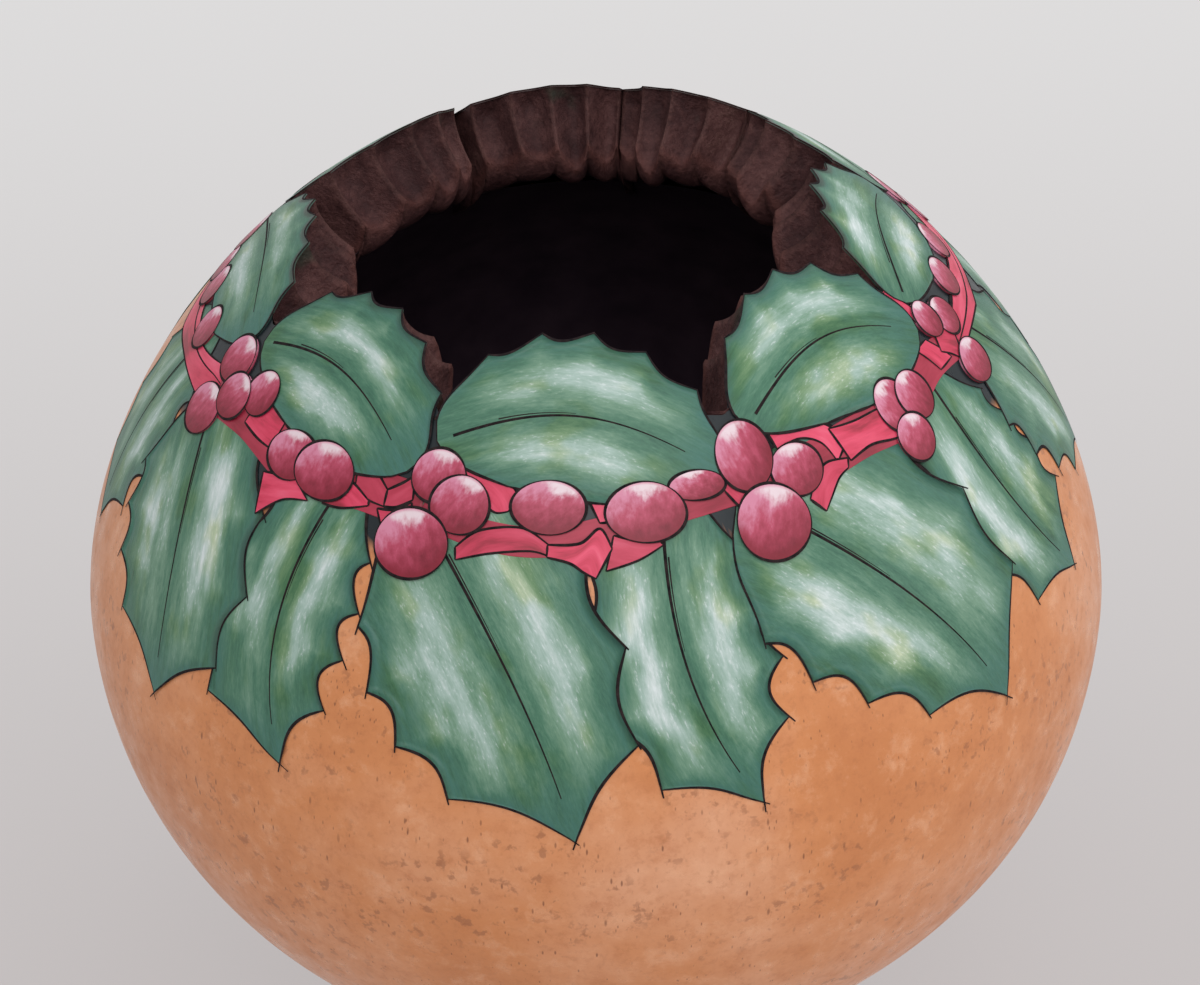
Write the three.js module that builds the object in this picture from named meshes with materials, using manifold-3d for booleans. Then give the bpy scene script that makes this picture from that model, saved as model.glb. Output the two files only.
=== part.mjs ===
// Decorative gourd: a round hard-shell gourd, cut open at the top along a ring of holly leaves, with its
// thick wall gouged into scoops at the rim and its hard skin parted by burned grooves into painted fields.
// Millimetres, +Z up, origin at the middle of the flat foot, front towards -Y, +X to the right.

import * as THREE from "three";
import { mergeVertices } from "three/addons/utils/BufferGeometryUtils.js";
import Module from "manifold-3d";

const wasm = await Module();
wasm.setup();

// Grown shape of the gourd, as two half superellipses that meet at the belly
const bellyRadius = 95;
const shoulderHeight = 93.1;
const lowerDepth = 86.8;
const shoulderPower = 1.75;
const lowerPower = 2.03;
const footRadius = 28;

// Layers, from the outside in
const skinThickness = 1.2;
const wallThickness = 13.5;
const liningThickness = 0.6;
const layerGap = 0.3;

// Carving and burning
const grooveWidth = 0.6;
const rimSlope = 56;
const notchRise = 3.5;
const notchMargin = 0.5;
const liningDrop = 20;

// Facets
const outerSegments = 36;
const innerSegments = 22;
const outerRings = 14;
const innerRings = 8;
const berrySides = 8;
const pointsPerTooth = 3;
const facetTolerance = 0.15;
const arcTolerance = 0.001;
const leastRingStep = 1;
const sharpestMitre = 0.5;

// Middle line of the garland, as an arc length from the grown top. All that is painted is placed by azimuth,
// in degrees, and by its drop in mm below this line.
const garlandArc = 80;

// Holly leaves of the upper row: azimuth and drop of the base and the tip, how far the midrib bows up, then
// on each side of it how wide the leaf is and how far along that is, as a share of its length
const toothLean = 1;
const upperTeeth = 6;
const upperToothHeight = 1.9;
const upperSharpness = 1;
const upperLeaves = [
  { base: [-23.5, -7], tip: [17.5, -3], bow: 9, above: [13, 0.45], below: [12, 0.5] },
  { base: [23, -9.5], tip: [63.5, -11.5], bow: 9.5, above: [12.5, 0.48], below: [12, 0.5] },
  { base: [66.5, -16], tip: [104, -23], bow: 7, above: [12.5, 0.5], below: [11.5, 0.5] },
  { base: [107.5, -19], tip: [139, -20], bow: 8, above: [12, 0.5], below: [11.5, 0.5] },
  { base: [142.5, -19], tip: [170, -18.5], bow: 8, above: [12.5, 0.5], below: [11.5, 0.5] },
  { base: [173, -18], tip: [208, -16], bow: 8.5, above: [12.5, 0.5], below: [11.5, 0.5] },
  { base: [211, -15], tip: [247, -10], bow: 8.5, above: [12.5, 0.5], below: [11.5, 0.5] },
  { base: [251, -8], tip: [293, -7], bow: 7.5, above: [10, 0.5], below: [11.5, 0.5] },
  { base: [296.5, -9], tip: [333.5, -1], bow: 8, above: [12.5, 0.5], below: [11.5, 0.5] },
];

// Holly leaves of the lower row, in the same terms, with the right side as the one above the midrib: every
// other one lies over its neighbours
const lowerTeeth = 5;
const lowerToothHeight = 2.8;
const lowerSharpness = 1.25;
const lowerTipHollow = 0.45;
const lowerLeaves = [
  { base: [-25, 2], tip: [-2, 56], bow: 5.5, above: [18, 0.4], below: [20.5, 0.45] },
  { base: [9, -2], tip: [17, 51.5], bow: -5, above: [14, 0.38], below: [13, 0.42] },
  { base: [19, 1], tip: [48.5, 50], bow: 5.5, above: [21.5, 0.46], below: [19, 0.35] },
  { base: [58, -7], tip: [68.5, 41.5], bow: -5, above: [14, 0.5], below: [14, 0.38] },
  { base: [75, -7], tip: [92, 37], bow: 2, above: [15, 0.45], below: [17.5, 0.36] },
  { base: [102, -16], tip: [112, 37], bow: 2, above: [14, 0.45], below: [14, 0.4] },
  { base: [125, -17], tip: [139, 36], bow: 3, above: [18, 0.45], below: [18, 0.42] },
  { base: [155, -17], tip: [166, 36], bow: 2, above: [14, 0.45], below: [14, 0.4] },
  { base: [179, -17], tip: [193, 37], bow: 3, above: [18.5, 0.45], below: [18.5, 0.42] },
  { base: [208, -15], tip: [218, 38], bow: 2, above: [14, 0.45], below: [14, 0.4] },
  { base: [232, -12], tip: [248, 41], bow: 3, above: [18.5, 0.45], below: [18.5, 0.42] },
  { base: [282, -5], tip: [279, 43], bow: -3, above: [14, 0.45], below: [14, 0.42] },
  { base: [294, 3], tip: [306, 54], bow: 4.5, above: [19, 0.42], below: [19, 0.4] },
  { base: [326, 0], tip: [326, 52.5], bow: -5.5, above: [12, 0.4], below: [13, 0.55] },
];

// Berry groups: how far each berry lies right of the group's azimuth, its drop, its width and its height
const berryDome = 0.35;
const berryStep = 0.1;
const berryGroups = [
  { azimuth: -6.2, berries: [[0, 1.2, 12, 9]] },
  { azimuth: 6.5, berries: [[8.6, -1.6, 9.4, 5], [0, 2, 13, 10]] },
  { azimuth: 23, berries: [[6.4, -1, 9.5, 9], [-2, -5.2, 9.8, 12], [0, 6.4, 13, 12.5]] },
  { azimuth: 48.5, berries: [[0, -4.4, 8.4, 9.6], [5.4, -4, 8.4, 9], [0.6, 2, 8.4, 8.5]] },
  { azimuth: 71, berries: [[0, 0, 10, 8.5]] },
  { azimuth: 73, berries: [[0, -9, 8, 7.5], [-5.5, -11.5, 7, 7.5]] },
  { azimuth: 84, berries: [[0, -11, 9, 8]] },
  { azimuth: 96, berries: [[0, -12, 9, 8]] },
  { azimuth: 112, berries: [[0, -16.5, 10, 9], [7, -11.5, 9.5, 8.5], [-1, -10, 8, 8]] },
  { azimuth: 133.5, berries: [[0, -14.5, 9.5, 9], [6.5, -12.5, 9, 8]] },
  { azimuth: 155, berries: [[5.5, -16, 9, 8.5], [-6, -14, 8.5, 8], [0, -10, 12, 10]] },
  { azimuth: 176, berries: [[0, -14, 12.5, 9]] },
  { azimuth: 191, berries: [[7, -17, 9, 8], [0, -13, 12, 9.5]] },
  { azimuth: 212, berries: [[-4.5, -16, 9, 9], [4.5, -14, 9, 8.5], [0, -9, 13, 11]] },
  { azimuth: 232, berries: [[0, -12, 8, 8.5], [7, -10.5, 9, 8], [2.5, -5, 8, 7.5]] },
  { azimuth: 253, berries: [[8, -1, 9.5, 8], [0, -5, 11, 9]] },
  { azimuth: 267, berries: [[0, -1, 9.5, 8.5]] },
  { azimuth: 279, berries: [[0, 0, 9, 8.5]] },
  { azimuth: 294, berries: [[11.6, -2.5, 8, 8.5], [0, 7, 10.5, 9.5], [0, -3.6, 9.5, 9], [5.8, 1.2, 9, 8.5]] },
  { azimuth: 315.2, berries: [[0, 3.2, 10.8, 8.6], [7.7, 3.2, 12.3, 9.8]] },
  { azimuth: 337, berries: [[1.4, -1.6, 9.4, 9], [6.2, 2.4, 10, 9.8], [-0.3, 10, 13, 11.4]] },
];

// Red ribbon that winds between the berries, in stretches whose ends lie under them: azimuth and drop of the
// points that the middle of each passes through
const ribbonWidth = 7.5;
const ribbonStep = 5;
const ribbonStretches = [
  [[-23, 4], [-14, 8], [-5, 8], [6.5, 3]],
  [[6.5, 3], [16, 1], [23, 0]],
  [[23, 0], [31, -1], [40, -2.5], [48.5, -2]],
  [[48.5, -2], [60, -6], [71, -5]],
  [[71, -5], [84, -6], [98, -7], [112, -11]],
  [[112, -11], [124, -10], [136, -8], [155, -12]],
  [[155, -12], [166, -11], [178, -9], [191, -12]],
  [[191, -12], [202, -11], [212, -11]],
  [[212, -11], [222, -9], [232, -8]],
  [[232, -8], [243, -6], [253, -3]],
  [[253, -3], [266, 4], [280, 4.5], [294, 3]],
  [[294, 3], [305, 2], [315, 4.5]],
  [[315, 4.5], [327, 3.5], [337, 4]],
];

// How far the blocks that cut the skin and the rim reach past what they cut
const blockReach = 6;

// Colours
const colours = {
  wood: { color: 0x4a2c28, roughness: 0.85, metalness: 0 },
  skin: { color: 0xc98a55, roughness: 0.45, metalness: 0 },
  lining: { color: 0x0c0808, roughness: 0.9, metalness: 0 },
  upperLeaf: { color: 0x5f9279, roughness: 0.5, metalness: 0 },
  lowerLeaf: { color: 0x4a8270, roughness: 0.5, metalness: 0 },
  berry: { color: 0xb04a60, roughness: 0.45, metalness: 0 },
  ribbon: { color: 0xcf4058, roughness: 0.5, metalness: 0 },
};

// Depths below the outer surface at which the layers begin and end
const wallTop = skinThickness + layerGap;
const wallBottom = wallTop + wallThickness;
const liningTop = wallBottom + layerGap;
const liningBottom = liningTop + liningThickness;

// Surface of the gourd: radius and height by arc length from the grown top

const bellyHeight = lowerDepth * (1 - (footRadius / bellyRadius) ** lowerPower) ** (1 / lowerPower);

function superellipseSide(u, height, power) {
  const angle = (u * Math.PI) / 2;
  const rise = Math.sin(angle);
  return { r: bellyRadius * (1 - rise ** power) ** (1 / power), z: bellyHeight + height * rise };
}

function buildProfile() {
  const samples = 600;
  const points = [];
  for (let i = samples; i > 0; i--) {
    points.push(superellipseSide(i / samples, shoulderHeight, shoulderPower));
  }
  for (let i = 0; i <= samples; i++) {
    points.push(superellipseSide(i / samples, -lowerDepth, lowerPower));
  }
  let arc = 0;
  points.forEach((p, i) => {
    if (i > 0) arc += Math.hypot(p.r - points[i - 1].r, p.z - points[i - 1].z);
    p.arc = arc;
  });
  points.forEach((p, i) => {
    const before = points[Math.max(i - 1, 0)];
    const after = points[Math.min(i + 1, points.length - 1)];
    const length = after.arc - before.arc;
    p.normalR = -(after.z - before.z) / length;
    p.normalZ = (after.r - before.r) / length;
  });
  points[0].normalR = 0;
  points[0].normalZ = 1;
  points.at(-1).normalR = 0;
  points.at(-1).normalZ = -1;
  return points;
}

const profile = buildProfile();
const fullArc = profile.at(-1).arc;

function profileAt(arc) {
  let low = 0;
  let high = profile.length - 1;
  while (high - low > 1) {
    const middle = (low + high) >> 1;
    if (profile[middle].arc <= arc) low = middle;
    else high = middle;
  }
  const a = profile[low];
  const b = profile[high];
  const t = (arc - a.arc) / (b.arc - a.arc);
  const mix = (key) => a[key] + (b[key] - a[key]) * t;
  return { r: mix("r"), z: mix("z"), normalR: mix("normalR"), normalZ: mix("normalZ") };
}

function sectionPoint(arc, depth) {
  const p = profileAt(arc);
  return new THREE.Vector2(Math.max(p.r - depth * p.normalR, 0), p.z - depth * p.normalZ);
}

function surfacePoint(azimuth, arc, depth) {
  const p = sectionPoint(arc, depth);
  const angle = THREE.MathUtils.degToRad(azimuth);
  return new THREE.Vector3(p.x * Math.sin(angle), -p.x * Math.cos(angle), p.y);
}

function millimetresPerDegree(arc) {
  return THREE.MathUtils.degToRad(profileAt(arc).r);
}

// Solids

function toSolid(geometry) {
  geometry.deleteAttribute("normal");
  geometry.deleteAttribute("uv");
  const merged = mergeVertices(geometry, 1e-4);
  const corners = merged.index.array;
  const kept = [];
  for (let i = 0; i < corners.length; i += 3) {
    const [a, b, c] = [corners[i], corners[i + 1], corners[i + 2]];
    if (a !== b && b !== c && c !== a) kept.push(a, b, c);
  }
  return solidFrom(merged.attributes.position.array, kept);
}

function solidFrom(positions, corners) {
  const at = (i) => new THREE.Vector3().fromArray(positions, 3 * i);
  let volume = 0;
  for (let i = 0; i < corners.length; i += 3) {
    volume += at(corners[i]).dot(at(corners[i + 1]).cross(at(corners[i + 2])));
  }
  const outward = [...corners];
  if (volume < 0) {
    for (let i = 0; i < outward.length; i += 3) {
      [outward[i], outward[i + 1]] = [outward[i + 1], outward[i]];
    }
  }
  return new wasm.Manifold(
    new wasm.Mesh({
      numProp: 3,
      vertProperties: Float32Array.from(positions),
      triVerts: Uint32Array.from(outward),
    })
  );
}

// The gourd's outline turned about its axis, a given depth below the outer surface, from an arc to a height
function turnedBody(depth, segments, rings, { firstArc = 0, footHeight = -Infinity } = {}) {
  let lastArc = fullArc;
  if (sectionPoint(fullArc, depth).y < footHeight) {
    let low = fullArc / 2;
    while (lastArc - low > arcTolerance) {
      const middle = (low + lastArc) / 2;
      if (sectionPoint(middle, depth).y > footHeight) low = middle;
      else lastArc = middle;
    }
  }
  const outline = [sectionPoint(firstArc, depth)];
  for (let i = 1; i < rings; i++) {
    const arc = (fullArc * i) / rings;
    const apart = Math.min(arc - firstArc, lastArc - arc);
    if (apart > leastRingStep) outline.push(sectionPoint(arc, depth));
  }
  outline.push(sectionPoint(lastArc, depth));
  const axisPoint = (p) => new THREE.Vector2(0, p.y);
  if (outline[0].x > 0) outline.unshift(axisPoint(outline[0]));
  if (outline.at(-1).x > 0) outline.push(axisPoint(outline.at(-1)));
  const geometry = new THREE.LatheGeometry(outline, segments);
  geometry.rotateX(Math.PI / 2);
  return toSolid(geometry);
}

// A painted field: an outline on the surface, with x along the girth in mm from the field's own azimuth and y
// the arc length from the grown top. Inner points and faces, numbered after the outline's, shape its top.

function azimuthOf(field, point) {
  return field.azimuth + point.x / field.scale;
}

function grownField(field, distance) {
  const count = field.outline.length;
  const outline = field.outline.map((p, i) => {
    const arriving = p.clone().sub(field.outline[(i + count - 1) % count]).normalize();
    const leaving = field.outline[(i + 1) % count].clone().sub(p).normalize();
    const outward = new THREE.Vector2(arriving.y + leaving.y, -arriving.x - leaving.x).normalize();
    const squareness = Math.max(outward.x * arriving.y - outward.y * arriving.x, sharpestMitre);
    return p.clone().addScaledVector(outward, distance / squareness);
  });
  return { ...field, outline };
}

// A field made solid between two depths, square to the surface; its edge can lie deeper than its middle
function fieldSolid(field, top, bottom, edgeDrop = 0) {
  const points = [...field.outline, ...field.inner];
  const rim = field.outline.length;
  const count = points.length;
  const onSurface = (p, depth) => surfacePoint(azimuthOf(field, p), p.y, depth).toArray();
  const positions = [
    ...points.flatMap((p, i) => onSurface(p, i < rim ? top + edgeDrop : top)),
    ...points.flatMap((p) => onSurface(p, bottom)),
  ];
  const turn = field.faces.reduce((sum, face) => sum + THREE.ShapeUtils.area(face.map((i) => points[i])), 0);
  const corners = [];
  for (const [a, b, c] of field.faces) {
    const face = turn > 0 ? [a, b, c] : [b, a, c];
    corners.push(...face, ...face.toReversed().map((i) => count + i));
  }
  for (let i = 0; i < rim; i++) {
    const next = (i + 1) % rim;
    corners.push(next, i, count + i, next, count + i, count + next);
  }
  return solidFrom(positions, corners);
}

// A field's outline as a block that passes right through the skin, with room for the groove round it
function fieldCutter(field) {
  return fieldSolid(grownField(field, grooveWidth), -blockReach, blockReach);
}

// The triangles between two lines of points, given by their numbers
function stitch(a, b) {
  const faces = [];
  let i = 0;
  let j = 0;
  while (i < a.length - 1 || j < b.length - 1) {
    const alongA = j === b.length - 1 || (i < a.length - 1 && (i + 1) * b.length <= (j + 1) * a.length);
    faces.push(alongA ? [a[i], a[i + 1], b[j]] : [a[i], b[j + 1], b[j]]);
    if (alongA) i++;
    else j++;
  }
  return faces.filter(([p, q, r]) => p !== q && q !== r && r !== p);
}

// A point of a leaf: t runs along the midrib from base to tip, side is 1 above and -1 below it, and share is
// how far out it lies between the midrib and the body of the leaf
function leafPoint(leafShape, t, side, share, tooth) {
  const tangent = leafShape.midrib.getTangent(t);
  const outward = new THREE.Vector2(tangent.y, -tangent.x).multiplyScalar(side);
  const [width, fullest] = side > 0 ? leafShape.above : leafShape.below;
  const swell = (t / fullest) ** fullest * ((1 - t) / (1 - fullest)) ** (1 - fullest);
  const lastTooth = Math.max(0, 1 - (1 - t) * leafShape.teeth);
  const hollow = 1 - leafShape.tipHollow * Math.sin(Math.PI * lastTooth);
  const reach = share * width * hollow * swell ** leafShape.sharpness + leafShape.toothHeight * tooth;
  const point = leafShape.midrib.getPoint(t).addScaledVector(outward, reach);
  return point.addScaledVector(tangent, toothLean * tooth);
}

// A holly leaf: its edge runs as concave arcs between teeth that lean towards the tip, which a deeper hollow
// on each side can draw out to a point
function leafField(leaf, teeth, toothHeight, sharpness, tipHollow = 0) {
  const azimuth = (leaf.base[0] + leaf.tip[0]) / 2;
  const scale = millimetresPerDegree(garlandArc + (leaf.base[1] + leaf.tip[1]) / 2);
  const base = new THREE.Vector2((leaf.base[0] - azimuth) * scale, garlandArc + leaf.base[1]);
  const tip = new THREE.Vector2((leaf.tip[0] - azimuth) * scale, garlandArc + leaf.tip[1]);
  const up = new THREE.Vector2(tip.y - base.y, base.x - tip.x).setLength(2 * leaf.bow);
  const control = base.clone().lerp(tip, 0.5).add(up);
  const midrib = new THREE.QuadraticBezierCurve(base, control, tip);
  const shape = { ...leaf, teeth, toothHeight, sharpness, tipHollow, midrib };

  const count = teeth * pointsPerTooth;
  const edge = (side) => {
    const points = [];
    for (let i = 1; i < count; i++) {
      const t = i / count;
      const tooth = 1 - Math.sin((Math.PI * (i % pointsPerTooth)) / pointsPerTooth);
      points.push(leafPoint(shape, t, side, 1, tooth * Math.min(1, t * teeth, (1 - t) * teeth)));
    }
    return points;
  };
  const above = edge(1);
  const outline = [base, ...above, tip, ...edge(-1).reverse()];

  const inner = [];
  for (let row = 1; row < teeth; row++) {
    for (const side of [1, 0, -1]) inner.push(leafPoint(shape, row / teeth, side, side ? 0.5 : 0, 0));
  }
  const edgeNumber = (i, side) => (i === 0 || side > 0 ? i : 2 * count - i);
  const innerNumber = (row, side) => {
    if (row === 0) return 0;
    return row === teeth ? count : outline.length + 3 * (row - 1) + 1 - side;
  };
  const faces = [];
  for (const side of [1, -1]) {
    for (let row = 0; row < teeth; row++) {
      const rimNumbers = [];
      for (let i = 0; i <= pointsPerTooth; i++) rimNumbers.push(edgeNumber(row * pointsPerTooth + i, side));
      const half = [innerNumber(row, side), innerNumber(row + 1, side)];
      const middle = [innerNumber(row, 0), innerNumber(row + 1, 0)];
      const strips = [...stitch(rimNumbers, half), ...stitch(half, middle)];
      faces.push(...(side > 0 ? strips : strips.map((face) => face.toReversed())));
    }
  }
  return { azimuth, scale, outline, inner, faces, upperEdge: [base, ...above, tip] };
}

function berryField(azimuth, [right, drop, width, height]) {
  const arc = garlandArc + drop;
  const ellipse = new THREE.EllipseCurve(right, arc, width / 2, height / 2);
  const outline = ellipse.getPoints(berrySides).slice(0, berrySides);
  const faces = outline.map((p, i) => [i, (i + 1) % berrySides, berrySides]);
  const scale = millimetresPerDegree(arc);
  return { azimuth, scale, outline, inner: [new THREE.Vector2(right, arc)], faces };
}

// Berries that touch are one piece, with a crease where their domes meet
function berryGroupSolid(group) {
  return union(group.map((field, i) => fieldSolid(field, 0, skinThickness - i * berryStep, berryDome)));
}

function union(solids) {
  return wasm.Manifold.union(solids);
}

function largestPiece(solid) {
  const pieces = solid.decompose();
  return pieces.reduce((best, piece) => (piece.volume() > best.volume() ? piece : best));
}

// A stretch of ribbon: a band of even width along a smooth line
function ribbonField(points) {
  const [[firstAzimuth, firstDrop], [lastAzimuth, lastDrop]] = [points[0], points.at(-1)];
  const azimuth = (firstAzimuth + lastAzimuth) / 2;
  const scale = millimetresPerDegree(garlandArc + (firstDrop + lastDrop) / 2);
  const passed = points.map(([turn, drop]) => new THREE.Vector2((turn - azimuth) * scale, garlandArc + drop));
  const middle = new THREE.SplineCurve(passed);
  const count = Math.ceil(middle.getLength() / ribbonStep);
  const edge = (side) =>
    Array.from({ length: count + 1 }, (_, i) => {
      const { x, y } = middle.getTangent(i / count);
      return middle.getPoint(i / count).addScaledVector(new THREE.Vector2(y, -x), (side * ribbonWidth) / 2);
    });
  const outline = [...edge(1), ...edge(-1).reverse()];
  const faces = [];
  for (let i = 0; i < count; i++) {
    const [across, after] = [outline.length - 1 - i, outline.length - 2 - i];
    faces.push([i, i + 1, after], [i, after, across]);
  }
  return { azimuth, scale, outline, inner: [], faces };
}

// The cut edge of the opening: along the toothed upper edges of the leaves, with a notch between each two
function rimLine(leaves) {
  const notches = leaves.map((leaf, i) => {
    const next = leaves[(i + 1) % leaves.length];
    const tip = leaf.upperEdge.at(-1);
    const base = next.upperEdge[0];
    const turn = i + 1 === leaves.length ? 360 : 0;
    return {
      azimuth: (azimuthOf(leaf, tip) + azimuthOf(next, base) + turn) / 2,
      arc: Math.min(tip.y, base.y) - notchRise,
    };
  });
  const line = [];
  leaves.forEach((leaf, i) => {
    const before = notches[(i + leaves.length - 1) % leaves.length];
    const after = notches[i];
    leaf.upperEdge.forEach((p, k) => {
      const notch = k < leaf.upperEdge.length / 2 ? before : after;
      if (p.y < notch.arc - notchMargin) line.push({ azimuth: azimuthOf(leaf, p), arc: p.y });
    });
    line.push(after);
  });
  return line;
}

// Everything that the carver took out above the rim: each point of the cut edge is carried inwards and down
function openingBlock(line) {
  const slope = THREE.MathUtils.degToRad(rimSlope);
  const reach = liningBottom + blockReach;
  const top = shoulderHeight + bellyHeight + blockReach;
  const rings = [[], [], []];
  for (const { azimuth, arc } of line) {
    const edge = surfacePoint(azimuth, arc, 0);
    const inward = new THREE.Vector3(-edge.x, -edge.y, 0).setLength(Math.cos(slope));
    inward.z = -Math.sin(slope);
    const outer = edge.clone().addScaledVector(inward, -blockReach);
    rings[0].push(new THREE.Vector3(outer.x, outer.y, top));
    rings[1].push(outer);
    rings[2].push(edge.clone().addScaledVector(inward, reach));
  }
  const count = line.length;
  const lowest = Math.min(...rings[2].map((p) => p.z));
  const points = [...rings.flat(), new THREE.Vector3(0, 0, top), new THREE.Vector3(0, 0, lowest)];
  const faces = [];
  for (let i = 0; i < count; i++) {
    const next = (i + 1) % count;
    faces.push(3 * count, i, next);
    for (const ring of [0, count]) {
      faces.push(ring + i, ring + count + i, ring + count + next, ring + i, ring + count + next, ring + next);
    }
    faces.push(2 * count + i, 3 * count + 1, 2 * count + next);
  }
  return solidFrom(points.flatMap((p) => p.toArray()), faces);
}

// Assembly

const gourd = new THREE.Group();

function addPart(name, solid, look) {
  const { vertProperties, triVerts } = solid.asOriginal().simplify(facetTolerance).getMesh();
  const geometry = new THREE.BufferGeometry();
  geometry.setAttribute("position", new THREE.BufferAttribute(vertProperties, 3));
  geometry.setIndex(new THREE.BufferAttribute(triVerts, 1));
  geometry.computeVertexNormals();
  const mesh = new THREE.Mesh(geometry, new THREE.MeshStandardMaterial({ ...look, flatShading: true }));
  mesh.name = name;
  gourd.add(mesh);
}

const upperFields = upperLeaves.map((leaf) => leafField(leaf, upperTeeth, upperToothHeight, upperSharpness));
const lowerFields = lowerLeaves.map((leaf) => {
  return leafField(leaf, lowerTeeth, lowerToothHeight, lowerSharpness, lowerTipHollow);
});
const berryFields = berryGroups.map(({ azimuth, berries }) => {
  return berries.map((berry) => berryField(azimuth, berry));
});
const ribbonFields = ribbonStretches.map(ribbonField);
const opening = openingBlock(rimLine(upperFields));

function addShell() {
  const wall = turnedBody(wallTop, outerSegments, outerRings, { footHeight: 0 })
    .subtract(turnedBody(wallBottom, innerSegments, innerRings))
    .subtract(opening);
  addPart("inner_wall", largestPiece(wall), colours.wood);
  const bare = new THREE.CylinderGeometry(bellyRadius, bellyRadius, fullArc, innerSegments);
  bare.rotateX(Math.PI / 2);
  bare.translate(0, 0, sectionPoint(garlandArc + liningDrop, liningTop).y + fullArc / 2);
  const lining = turnedBody(liningTop, innerSegments, innerRings)
    .subtract(turnedBody(liningBottom, innerSegments, innerRings))
    .subtract(toSolid(bare));
  addPart("inner_lining", lining, colours.lining);
}

// The painted fields lie on each other in the order in which they are given: each is a piece of the skin, cut
// back by a groove from all that lie over it
function addSkin() {
  const flatSolid = (field) => fieldSolid(field, 0, skinThickness);
  let cover = union([]);

  const layField = (name, solid, cutter, look) => {
    addPart(name, largestPiece(solid.subtract(cover)), look);
    cover = cover.add(cutter);
  };
  berryFields.forEach((group, i) => {
    layField(`berries_${i + 1}`, berryGroupSolid(group), union(group.map(fieldCutter)), colours.berry);
  });
  upperFields.forEach((leaf, i) => {
    layField(`leaf_upper_${i + 1}`, flatSolid(leaf), fieldCutter(leaf), colours.upperLeaf);
  });

  ribbonFields.forEach((stretch, i) => {
    layField(`ribbon_${i + 1}`, flatSolid(stretch), fieldCutter(stretch), colours.ribbon);
  });
  for (const overlying of [true, false]) {
    lowerFields.forEach((leaf, i) => {
      if (overlying !== (i % 2 === 0)) return;
      layField(`leaf_lower_${i + 1}`, flatSolid(leaf), fieldCutter(leaf), colours.lowerLeaf);
    });
  }

  const skinTop = garlandArc + Math.min(...ribbonStretches.flat().map(([, drop]) => drop));
  const skin = turnedBody(0, outerSegments, outerRings, { firstArc: skinTop, footHeight: 0 })
    .subtract(turnedBody(skinThickness, outerSegments, outerRings, { firstArc: skinTop - blockReach }))
    .subtract(cover);
  addPart("rind", largestPiece(skin), colours.skin);
}

addShell();
addSkin();

export default gourd;
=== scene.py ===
# Decorative gourd, dressed for the render. Sizes in the tables are in mm and degrees, as in the part's
# source: azimuth 0 is the front (-Y), and arcs run down the outer surface from the grown top. Blender
# works in metres.

import math

import bpy
import numpy as np
from mathutils import Matrix, Vector


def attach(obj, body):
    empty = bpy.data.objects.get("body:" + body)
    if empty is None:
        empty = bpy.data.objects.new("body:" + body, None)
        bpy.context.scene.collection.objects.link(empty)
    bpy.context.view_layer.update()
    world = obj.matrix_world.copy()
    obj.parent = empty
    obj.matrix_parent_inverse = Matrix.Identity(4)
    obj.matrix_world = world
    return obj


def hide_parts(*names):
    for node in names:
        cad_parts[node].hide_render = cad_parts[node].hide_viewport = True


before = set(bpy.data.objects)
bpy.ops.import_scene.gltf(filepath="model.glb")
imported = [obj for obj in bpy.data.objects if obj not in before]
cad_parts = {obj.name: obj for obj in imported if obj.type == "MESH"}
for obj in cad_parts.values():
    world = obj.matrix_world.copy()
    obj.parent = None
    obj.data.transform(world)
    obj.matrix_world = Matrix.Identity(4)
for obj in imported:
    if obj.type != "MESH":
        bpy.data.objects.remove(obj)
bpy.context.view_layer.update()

MM = 0.001

# Grown shape
BELLY_RADIUS = 95
SHOULDER_HEIGHT = 93.1
LOWER_DEPTH = 86.8
SHOULDER_POWER = 1.75
LOWER_POWER = 2.03
FOOT_RADIUS = 28

# Layers: depth of the inner side of the wall, and of each coat of the outside below the grown surface
WALL_DEPTH = 15
SKIN_DEPTH = 0.60
LEAF_UNDER_DEPTH = 0.52
LEAF_OVER_DEPTH = 0.45
BAND_DEPTH = 0.41
FOLD_DEPTHS = (0.38, 0.35, 0.32)
LEAF_UPPER_DEPTH = 0.25
BERRY_DEPTH = 0.17
BERRY_STEP = 0.04
EDGE_DEPTH = 0.62
CURL_SHARE = 0.985
LINE_RISE = 0.02
LINE_GAP = 0.003
BERRY_LINE_RISE = 0.012
BERRY_LINE_WIDTH = 0.36

# Opening: how steep the cut is and how much less so at the front, and the notches between leaves
RIM_SLOPE = 56
FRONT_SLOPE_EASE = 12
NOTCH_RISE = 3.5
NOTCH_MARGIN = 0.5

# Scoops along the cut, with a ridge between each two; a spread is the least and the most of random draws
SCOOP_DEPTH = 1.7
SCOOP_DEPTH_SPREAD = (0.7, 1.3)
SCOOP_LIP = 4.5
SCOOP_LIP_SPREAD = (0.7, 1.2)
SCOOP_END_SPREAD = (-1, 2.5)
SCOOP_TINT_SPREAD = (-0.15, 0.13)
RIDGE_STEP = 0.9

# Along the cut: the share of it in which a scoop comes to its depth, what it loses by the other end, how
# far the whole cut is hollow and the marks of the tool are deep, then how it is searched for and meshed
SCOOP_START = 0.2
SCOOP_FADE = 0.35
CUT_HOLLOW = 0.9
TOOL_MARK_DEPTH = 0.12
LONGEST_CUT = 45
CUT_HALVINGS = 18
CUT_ROWS = 34

# Inner side below the cut, which the brown paint runs over
INSIDE_DROP = 2
INSIDE_ROWS = 12
STRAIGHT_BELOW = 6
PAINTED_BELOW = 14

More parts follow.
